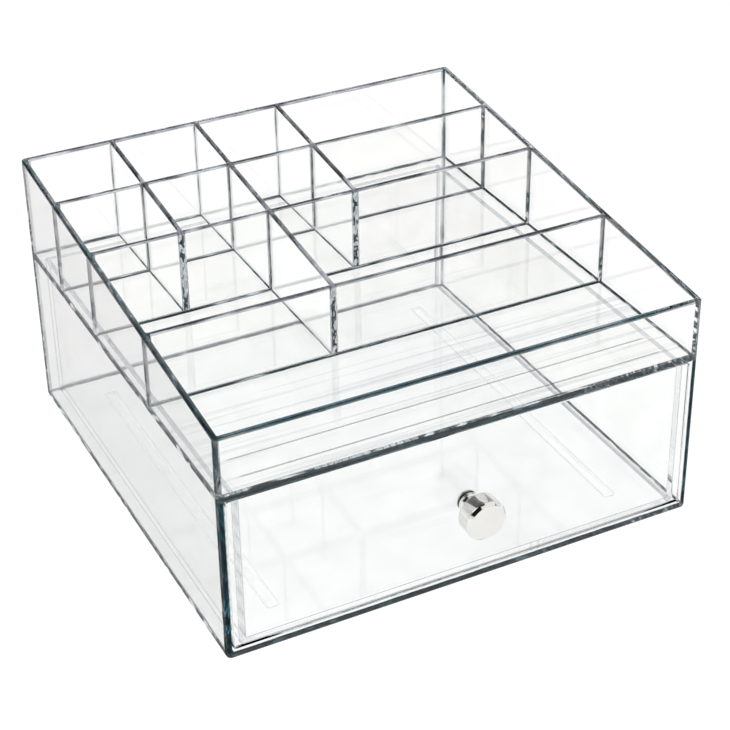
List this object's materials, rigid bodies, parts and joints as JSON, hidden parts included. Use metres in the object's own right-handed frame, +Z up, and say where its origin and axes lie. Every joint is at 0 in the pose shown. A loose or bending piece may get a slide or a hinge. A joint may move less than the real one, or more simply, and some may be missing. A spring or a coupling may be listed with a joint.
{
  "type": "makeup organizer with drawer",
  "caption": "Clear acrylic makeup organizer: open compartment tray with a sloping rim above a drawer that slides out by a round metal knob.",
  "frame": {"origin": "centre of the case's footprint, on the surface that the organizer stands on", "axes": "+Z up, -Y towards the user: the drawer's front and knob face -Y; +X to the user's right"},
  "size_m": [0.24, 0.2565, 0.1379],
  "materials": {
    "clear_acrylic": "polished clear sheet with a faint blue-green edge",
    "plated_metal": "polished nickel plate",
    "clear_washer": "translucent nylon"
  },
  "bodies": {
    "case": {"left_side_panel": "clear_acrylic", "right_side_panel": "clear_acrylic", "back_panel": "clear_acrylic", "base_panel": "clear_acrylic", "tray_floor_panel": "clear_acrylic", "tray_front_panel": "clear_acrylic", "rear_cross_divider": "clear_acrylic", "middle_cross_divider": "clear_acrylic", "front_cross_divider": "clear_acrylic", "left_lengthwise_divider": "clear_acrylic", "centre_lengthwise_divider": "clear_acrylic", "right_lengthwise_divider": "clear_acrylic"},
    "drawer": {"drawer_front": "clear_acrylic", "drawer_back": "clear_acrylic", "drawer_left_side": "clear_acrylic", "drawer_right_side": "clear_acrylic", "drawer_bottom": "clear_acrylic", "drawer_left_runner": "clear_acrylic", "drawer_right_runner": "clear_acrylic", "knob": "plated_metal", "knob_collar": "plated_metal", "knob_washer": "clear_washer", "knob_screw": "plated_metal"}
  },
  "joints": [
    {"name": "drawer_slide", "type": "slide", "parent": "case", "child": "drawer", "axis": [0, -1, 0], "range_m": [0, 0.16]}
  ]
}
